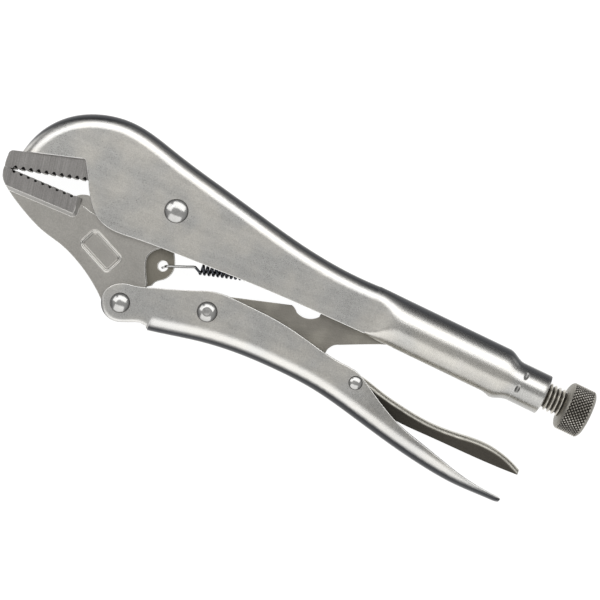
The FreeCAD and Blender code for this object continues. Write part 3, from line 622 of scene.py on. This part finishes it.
@dataclass(frozen=True)
class TurnedScrew:
    """Plated turned steel: oil and painted shade where the thread or knurl is deep, wear and painted
    highlight on its crests.

    Deep and crest are radii; the stretch from first to last is threaded or knurled and the rest is plain.
    """

    name: str
    deep: float
    crest: float
    first: float = -100.0
    last: float = 100.0
    fade: float = 0.3
    # Crest colour: wear and painted highlight.
    bright: Colour = (0.66, 0.635, 0.58)
    # Dark colour in the deep of the thread or knurl: oil and painted shade.
    oil_and_painted_shade: Colour = (0.045, 0.04, 0.033)
    plain: Colour = (0.33, 0.315, 0.28)

    def make(self) -> bpy.types.Material:
        """Build the material.

        Returns:
            The finished material.
        """
        recipe = Recipe(self.name)
        grain = recipe.noise(0.35, 4.0)
        reach = recipe.reach(SCREW_AXIS, (0, 1, 1)) + (grain - 0.5) * 0.25
        crest_wear_and_highlight = recipe.step(reach, self.deep, self.crest)
        along = recipe.spot_from(SCREW_AXIS, "X")
        before = recipe.step(along, self.first, self.first - self.fade)
        plain = before.over(recipe.step(along, self.last, self.last + self.fade))
        # Oil and painted shade in the deep, wear and painted highlight on the crests.
        tone = recipe.mix(plain, recipe.mix(crest_wear_and_highlight, self.oil_and_painted_shade, self.bright), self.plain)
        tone = recipe.shade(tone, 0.66 + grain * 0.6)
        turned = recipe.noise(0.18, 1.0, recipe.vector("MULTIPLY", recipe.spot, (1, 0, 0)))
        rough = 0.42 - crest_wear_and_highlight * 0.14 + grain * 0.1
        return recipe.metal(tone, rough, recipe.bump(grain * 0.6 + turned * 0.4, 0.018))


@dataclass(frozen=True)
class SpringWire:
    """Dark oiled spring wire, lighter towards the hook at its front end."""

    name: str
    oiled: Colour = (0.085, 0.09, 0.105)
    pale_tone: Colour = (0.50, 0.50, 0.49)
    coil_start: float = 16.5

    def make(self) -> bpy.types.Material:
        """Build the material.

        Returns:
            The finished material.
        """
        recipe = Recipe(self.name)
        drawn = recipe.noise(0.5, 3.0)
        along = recipe.spot_from(PIVOT, "X")
        hook = recipe.step(along + drawn * 0.8, self.coil_start + 0.6, self.coil_start - 0.6)
        tone = recipe.shade(recipe.mix(hook, self.oiled, self.pale_tone), 0.7 + drawn * 0.6)
        return recipe.metal(tone, 0.18 + drawn * 0.14, recipe.bump(drawn, 0.012))


# ---------------------------------------------------------------- meshes


def shell(name: str, rings: list[list[Vector]], sharp: float, valleys: bool = False) -> bpy.types.Object:
    """Join rings of points into one closed skin, with a flat cap on each end.

    Args:
        name: the object's name.
        rings: loops with equally many points each.
        sharp: the angle in degrees past which an edge stays crisp.
        valleys: split each quad along the diagonal that lies nearer to the middle of its ring.

    Returns:
        The object, in the row frame.
    """
    bm = bmesh.new()
    loops = [[bm.verts.new(point) for point in ring] for ring in rings]
    count = len(loops[0])
    centres = [sum(ring, Vector()) / count for ring in rings]
    for row, (near, far) in enumerate(zip(loops, loops[1:])):
        for i in range(count):
            k = (i + 1) % count
            corners = (near[i], near[k], far[k], far[i])
            if not valleys:
                bm.faces.new(corners)
                continue
            reach = [(v.co - centres[row + (n > 1)]).length for n, v in enumerate(corners)]
            turn = 0 if reach[0] + reach[2] <= reach[1] + reach[3] else 1
            a, b, c, d = corners[turn:] + corners[:turn]
            bm.faces.new((a, b, c))
            bm.faces.new((a, c, d))
    bm.faces.new(loops[0][::-1])
    bm.faces.new(loops[-1])
    bmesh.ops.recalc_face_normals(bm, faces=bm.faces)
    mesh = bpy.data.meshes.new(name)
    bm.to_mesh(mesh)
    bm.free()
    mesh.shade_smooth()
    mesh.set_sharp_from_angle(angle=math.radians(sharp))
    made = bpy.data.objects.new(name, mesh)
    bpy.context.collection.objects.link(made)
    return made


def lathe(name: str, base: Vector, profile: list[tuple[float, float]], steps: int,
          sharp: float) -> bpy.types.Object:
    """Turn a profile about an upright axis.

    Args:
        name: the object's name.
        base: the point on the axis from which places are counted.
        profile: places along the axis and radii, in millimetres.
        steps: points round the axis.
        sharp: the angle in degrees past which an edge stays crisp.

    Returns:
        The turned object.
    """
    rings = []
    for place, radius in profile:
        ring = []
        for i in range(steps):
            turn = FULL_TURN * i / steps
            ring.append(base + Vector((radius * math.cos(turn), radius * math.sin(turn), place)) * MM)
        rings.append(ring)
    return shell(name, rings, sharp)


def smooth_path(points: list[Vector], steps: int) -> list[Vector]:
    """A Catmull-Rom curve through points.

    Args:
        points: the points to pass through.
        steps: points made for each stretch.

    Returns:
        The points of the curve, ends included.
    """
    padded = [2 * points[0] - points[1], *points, 2 * points[-1] - points[-2]]
    path = []
    for a, b, c, d in zip(padded, padded[1:], padded[2:], padded[3:]):
        for i in range(steps):
            t = i / steps
            path.append(0.5 * (2 * b + (c - a) * t + (2 * a - 5 * b + 4 * c - d) * t ** 2
                               + (3 * b - a - 3 * c + d) * t ** 3))
    return path + [points[-1]]


def wire(name: str, path: list[Vector], radius: float, sides: int = 10, tip: float = 0.7) -> bpy.types.Object:
    """Round wire along a path, with its ends slightly rounded.

    Args:
        name: the object's name.
        path: the wire's centre line.
        radius: the wire's radius in millimetres.
        sides: points round the wire.
        tip: the share of the radius that is left at each end.

    Returns:
        The wire.
    """
    rings = []
    normal = Vector((0.0, 0.0, 1.0))
    for i, point in enumerate(path):
        ahead = (path[min(i + 1, len(path) - 1)] - path[max(i - 1, 0)]).normalized()
        normal = (normal - ahead * normal.dot(ahead)).normalized()
        other = ahead.cross(normal)
        reach = radius * MM * (tip if i in (0, len(path) - 1) else 1.0)
        turns = [FULL_TURN * k / sides for k in range(sides)]
        rings.append([point + (normal * math.cos(turn) + other * math.sin(turn)) * reach for turn in turns])
    return shell(name, rings, 60.0)


def report(piece: bpy.types.Object, body: str) -> None:
    """Log one finished piece."""
    log.info("%s: %d faces, on %s", piece.name, len(piece.data.polygons), body)


def dress(node: str, material: bpy.types.Material) -> None:
    """Give a CAD node its finish.

    Args:
        node: the node's name.
        material: the finish.
    """
    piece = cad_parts[node]
    if piece.material_slots:
        for place in piece.material_slots:
            place.material = material
    else:
        piece.data.materials.append(material)
    report(piece, "its own body")


# ---------------------------------------------------------------- sub-assemblies


@dataclass
class SheetWork:
    """The folded and forged pieces, whose shapes the CAD nodes already have."""

    def dress(self) -> None:
        """Give each node its finish."""
        jaw = ForgedJaw("forged_jaw").make()
        for node, material in (("frame", NickelSheet("nickel_frame", SpineSide.UPPER).make()),
                               ("lower_handle", NickelSheet("nickel_lever", SpineSide.LOWER).make()),
                               ("fixed_jaw", jaw), ("movable_jaw", jaw),
                               ("toggle_link", TumbledSteel("tumbled_link").make()),
                               ("release_lever", DarkSheet("dark_release").make()),
                               ("screw_nose", TurnedScrew("turned_nose", 0.0, 1.0).make())):
            dress(node, material)


@dataclass
class Rivet:
    """A rivet with two polished domed heads; lengths in millimetres."""

    node: str
    body: str
    shank: float
    height: float
    eye: float
    eye_depth: float = 0.22
    foot: float = 0.14
    fullness: float = 0.35
    eye_shares: tuple[float, ...] = (0.86, 0.7, 0.45, 0.2)
    steps: int = 72
    rows: int = 14
    sharp: float = 50.0

    def head(self, radius: float, face: float) -> list[tuple[float, float]]:
        """The profile of one head, from its foot to its dimpled middle.

        Args:
            radius: the head's radius.
            face: distance of the sheet's face from the rivet's middle.

        Returns:
            Places along the axis and radii.
        """
        rim = self.foot * self.height
        dome = self.height - rim
        bow = (radius ** 2 + dome ** 2) / (2 * dome)
        profile = [(face, radius)]
        for i in range(self.rows + 1):
            reach = radius * math.cos(0.5 * math.pi * i / self.rows)
            if reach < self.eye or i == self.rows:
                break
            cap = math.sqrt(bow ** 2 - reach ** 2) - (bow - dome)
            full = dome * math.sqrt(1 - (reach / radius) ** 2)
            profile.append((face + rim + self.fullness * full + (1 - self.fullness) * cap, reach))
        top = profile[-1][0]
        if self.eye:
            for share in self.eye_shares:
                profile.append((top - self.eye_depth * (1 - share ** 2), self.eye * share))
        return profile + [(profile[-1][0] + 0.002, 0.02)]

    def build(self) -> None:
        """Make the rivet in place of its CAD node."""
        low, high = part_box(self.node)
        radius = (high[0] - low[0]) / 2 / MM
        face = (high[2] - low[2]) / 2 / MM - self.height
        head = self.head(radius, face)
        profile = [(-place, reach) for place, reach in head[::-1]]
        profile += [(-face, self.shank), (face, self.shank)] + head
        piece = lathe(self.node + "_domed", middle(self.node), profile, self.steps, self.sharp)
        polish = PolishedRivet(self.node + "_polish", middle(self.node), radius, eye=self.eye)
        piece.data.materials.append(polish.make())
        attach(piece, self.body)
        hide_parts(self.node)
        report(piece, self.body)


@dataclass
class AdjustingScrew:
    """Threaded rod with its diamond-knurled knob; lengths in millimetres."""

    thread_radius: float = 5.55
    thread_depth: float = 1.02
    pitch: float = 1.814
    lead_in: float = 1.2
    root_share: float = 0.22
    flank_share: float = 0.6
    around: int = 64
    per_pitch: int = 10
    knob_length: float = 11.2
    band_start: float = 1.7
    band_end: float = 9.7
    diamonds: int = 40
    knurl_depth: float = 0.55
    crest_gap: float = 0.12
    thread_sharp: float = 50.0
    knurl_sharp: float = 30.0

    def __post_init__(self) -> None:
        """Read the screw's ends from its CAD node."""
        low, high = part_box("adjusting_screw")
        self.start = (low[0] - SCREW_AXIS.x) / MM
        self.end = (high[0] - SCREW_AXIS.x) / MM
        self.knob_radius = (high[1] - low[1]) / 2 / MM

    def spot(self, along: float, radius: float, turn: float) -> Vector:
        """A point on the screw.

        Args:
            along: place along the axis.
            radius: distance from the axis.
            turn: angle about the axis in radians.

        Returns:
            The point in the row frame.
        """
        return SCREW_AXIS + Vector((along, radius * math.cos(turn), radius * math.sin(turn))) * MM

    def thread(self) -> bpy.types.Object:
        """Build the right-handed thread up to the knob.

        Returns:
            The threaded rod.
        """
        length = self.end - self.knob_length - self.start
        rows = round(length / self.pitch * self.per_pitch)
        rings = []
        for row in range(rows + 1):
            place = length * row / rows
            fade = min(1.0, place / self.lead_in)
            ring = []
            for i in range(self.around):
                phase = (place / self.pitch - i / self.around) % 1.0
                crest = (1 - abs(2 * phase - 1) - self.root_share) / self.flank_share
                depth = self.thread_depth * (1 - min(max(crest, 0.0), 1.0) * fade)
                turn = FULL_TURN * i / self.around
                ring.append(self.spot(self.start + place, self.thread_radius - depth, turn))
            rings.append(ring)
        return shell("screw_thread", rings, self.thread_sharp)

    def knurl(self, row: int, column: int) -> float:
        """Height of the knurl, 0 in a groove and 1 on a point, at quarter steps."""
        ridges = [1 - abs(1 - ((column + way * row) % 4) / 2) for way in (1, -1)]
        return min(ridges)

    def knob(self) -> bpy.types.Object:
        """Build the knob with its crossed knurl.

        Returns:
            The knob.
        """
        radius, length = self.knob_radius, self.knob_length
        face = self.end - length
        crest = radius - self.crest_gap
        columns = 4 * self.diamonds
        band = self.band_end - self.band_start
        rows = round(band / (FULL_TURN * radius / columns))
        front = ((0.0, self.thread_radius - 0.6), (0.0, radius - 2.6), (0.1, radius - 2.1),
                 (0.32, radius - 1.5), (0.62, radius - 1.0), (1.0, radius - 0.6), (1.5, crest - 0.2))
        back = ((self.band_end + 0.3, crest - 0.2), (self.band_end + 0.75, crest - 0.55),
                (length - 0.4, crest - 1.1), (length - 0.1, crest - 1.7), (length, crest - 2.5),
                (length, 2.0), (length - 0.35, 1.2))
        rings = [[corner] * columns for corner in front]
        for row in range(rows + 1):
            place = self.band_start + band * row / rows
            depths = [self.knurl_depth * (1 - self.knurl(row, i)) for i in range(columns)]
            rings.append([(place, crest - depth) for depth in depths])
        rings += [[corner] * columns for corner in back]
        points = [[self.spot(face + place, reach, FULL_TURN * i / columns)
                   for i, (place, reach) in enumerate(ring)] for ring in rings]
        return shell("screw_knob", points, self.knurl_sharp, valleys=True)

    def build(self) -> None:
        """Make the screw in place of its CAD node."""
        thread, knob = self.thread(), self.knob()
        root, groove = self.thread_radius - self.thread_depth, self.knob_radius - self.knurl_depth
        face = self.end - self.knob_length
        thread.data.materials.append(TurnedScrew("turned_thread", root + 0.02, root + 0.45).make())
        knurled = TurnedScrew("turned_knob", groove - 0.05, groove + 0.3,
                              face + self.band_start, face + self.band_end)
        knob.data.materials.append(knurled.make())
        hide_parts("adjusting_screw")
        for piece in (thread, knob):
            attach(piece, "adjusting_screw")
            report(piece, "adjusting_screw")


@dataclass
class ReturnSpring:
    """Extension spring from the jaw's ear to the frame's tab; lengths in millimetres.

    Lead and tail are the straight wires with their hooks, as places from the jaw pivot.
    """

    lead: tuple[Place, ...] = ((3.9, -22.9, -2.3), (4.6, -22.3, -1.2), (5.0, -21.9, 0.4), (5.5, -21.5, 1.9),
                               (6.8, -20.9, 2.4), (9.5, -19.7, 1.8), (12.7, -18.3, 1.3), (15.6, -16.95, 1.2),
                               (16.5, -17.05, 1.25))
    tail: tuple[Place, ...] = ((51.6, -6.2, 0.6), (53.5, -5.6, 1.2), (56.0, -4.7, 1.9), (57.6, -4.1, 1.9),
                               (58.2, -3.7, 0.6), (58.3, -3.6, -1.2), (57.9, -3.9, -2.1))
    wire_radius: float = 0.54
    coil_radius: float = 1.8
    pitch: float = 1.78
    start_x: float = 17.5
    start_y: float = -17.0
    slope: float = 0.327
    first_turn: float = 0.36
    split_turn: float = 7.4
    last_turn: float = 19.1
    steps: int = 22

    def coil(self, first: float, last: float) -> list[Vector]:
        """Centre line of the coil.

        Args:
            first: the turn at which it starts.
            last: the turn at which it ends.

        Returns:
            Points of the helix.
        """
        lean = math.atan(self.slope)
        along = Vector((math.cos(lean), math.sin(lean), 0.0))
        across = Vector((-math.sin(lean), math.cos(lean), 0.0))
        out = Vector((0.0, 0.0, 1.0))
        base = at(self.start_x, self.start_y)
        path = []
        count = round((last - first) * self.steps)
        for i in range(count + 1):
            turn = first + (last - first) * i / count
            angle = FULL_TURN * turn
            ring = across * math.cos(angle) + out * math.sin(angle)
            path.append(base + (along * self.pitch * turn + ring * self.coil_radius) * MM)
        return path

    def build(self) -> None:
        """Make both stretches of the spring in place of the CAD node."""
        lead, tail = ([at(*spot) for spot in run] for run in (self.lead, self.tail))
        front_coil = self.coil(self.first_turn, self.split_turn)
        back_coil = self.coil(self.split_turn, self.last_turn)
        front_path = smooth_path(lead + [front_coil[0]], 5)[:-1] + front_coil
        back_path = back_coil + smooth_path([back_coil[-1]] + tail, 5)[1:]
        finish = SpringWire("spring_wire").make()
        for name, path, bodies, ends in (
                ("spring_front", front_path, ("movable_jaw", "jaw_pin"), (lead[-1], front_coil[-1])),
                ("spring_back", back_path, ("jaw_pin", "frame"), (back_coil[0], tail[0]))):
            piece = wire(name, path, self.wire_radius)
            piece.data.materials.append(finish)
            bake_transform(piece)
            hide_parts("return_spring")
            report(piece, " and ".join(bodies))


# ---------------------------------------------------------------- studio


@dataclass(frozen=True)
class SoftBox:
    """A soft lamp aimed at the tool; its place is an angle about Z and a tilt from overhead."""

    name: str
    around: float
    tilt: float
    width: float
    depth: float
    level: float
    distance: float = 0.95

    def build(self, target: Vector) -> None:
        """Hang the lamp.

        Args:
            target: the point that it faces.
        """
        lamp = bpy.data.lights.new(self.name, "AREA")
        lamp.shape = "RECTANGLE"
        lamp.size, lamp.size_y = self.width, self.depth
        lamp.energy = self.level * math.pi * self.width * self.depth
        around, tilt = math.radians(self.around), math.radians(self.tilt)
        away = Vector((math.sin(tilt) * math.cos(around), math.sin(tilt) * math.sin(around), math.cos(tilt)))
        made = bpy.data.objects.new(self.name, lamp)
        made.location = target + away * self.distance
        made.rotation_mode = "QUATERNION"
        made.rotation_quaternion = away.to_track_quat("Z", "Y")
        made.visible_camera = False
        bpy.context.collection.objects.link(made)


@dataclass
class Studio:
    """Pale floor, soft lamps, even surroundings and the camera."""

    lens: float = 115.0
    sensor: float = 36.0
    view_width: float = 240.0
    view_x: float = 59.4
    view_y: float = -10.5
    view_turn: float = 25.7
    floor_radius: float = 3.0
    floor_glow: float = 1.2
    glow_share: float = 0.8
    horizon: Colour = (0.16, 0.16, 0.165)
    zenith: Colour = (0.50, 0.50, 0.50)
    lamps: tuple[SoftBox, ...] = (SoftBox("lamp_spine", 92.0, 34.0, 1.3, 0.62, 1.5),
                                  SoftBox("lamp_left", 172.0, 46.0, 0.5, 0.6, 1.3),
                                  SoftBox("lamp_lever", -84.0, 54.0, 1.3, 1.22, 0.92))

    def floor(self) -> None:
        """Lay the floor that the tool lies on."""
        bm = bmesh.new()
        bmesh.ops.create_circle(bm, cap_ends=True, segments=96, radius=self.floor_radius)
        mesh = bpy.data.meshes.new("floor")
        bm.to_mesh(mesh)
        bm.free()
        made = bpy.data.objects.new("floor", mesh)
        made.location = (PIVOT.x, PIVOT.y, cad_box[0].z - 0.1 * MM)
        bpy.context.collection.objects.link(made)
        recipe = Recipe("floor_paper")
        paper = recipe.mix(recipe.noise(0.8, 3.0), (0.79, 0.79, 0.79), (0.82, 0.82, 0.82))
        plain = recipe.node("BsdfDiffuse", None, {"Color": paper})
        glow = recipe.node("Emission", None, {"Strength": self.floor_glow})
        camera, glossy, clear = (recipe.node("LightPath", output=f"Is {kind} Ray")
                                 for kind in ("Camera", "Glossy", "Transmission"))
        seen = camera.over(glossy).over(clear)
        recipe.finish(recipe.node("MixShader", None, {0: seen * self.glow_share, 1: plain, 2: glow}))
        mesh.materials.append(recipe.material)
        log.info("floor laid")

    def world(self) -> None:
        """Surround the tool with an even grey that is darker towards the horizon."""
        world = bpy.data.worlds.new("studio")
        nodes = Nodes(world)
        height = nodes.node("SeparateXYZ", None, {0: nodes.node("TexCoord", output="Generated")}, "Z")
        sky = nodes.mix(nodes.step(height, 0.0, 0.9), self.horizon, self.zenith)
        nodes.finish(nodes.node("Background", None, {"Color": sky}), "OutputWorld")
        bpy.context.scene.world = world

    def camera(self) -> None:
        """Look straight down on the tool, turned so that it lies aslant in the view."""
        lens = bpy.data.cameras.new("camera")
        lens.lens, lens.sensor_width = self.lens, self.sensor
        made = bpy.data.objects.new("camera", lens)
        distance = self.view_width * MM * self.lens / self.sensor
        made.location = at(self.view_x, self.view_y) + Vector((0.0, 0.0, distance))
        made.rotation_euler = (0.0, 0.0, math.radians(self.view_turn))
        bpy.context.collection.objects.link(made)
        bpy.context.scene.camera = made

    def build(self) -> None:
        """Set up the whole studio."""
        self.floor()
        self.world()
        for lamp in self.lamps:
            lamp.build(at(self.view_x, self.view_y))
        self.camera()
        bpy.context.scene.view_settings.view_transform = "Standard"


def main() -> None:
    """Build every piece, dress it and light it."""
    logging.basicConfig(level=logging.INFO, format="%(name)s %(message)s")
    SheetWork().dress()
    for rivet in (Rivet("jaw_pivot_rivet", "jaw_pin", 3.45, 1.9, 0.0),
                  Rivet("lever_pivot_rivet", "lever_pin", 2.75, 1.9, 0.0),
                  Rivet("toggle_rivet", "lever", 2.78, 1.9, 1.5),
                  Rivet("release_rivet", "lever", 1.78, 1.2, 0.0)):
        rivet.build()
    AdjustingScrew().build()
    ReturnSpring().build()
    Studio().build()


if __name__ == "__main__":
    main()
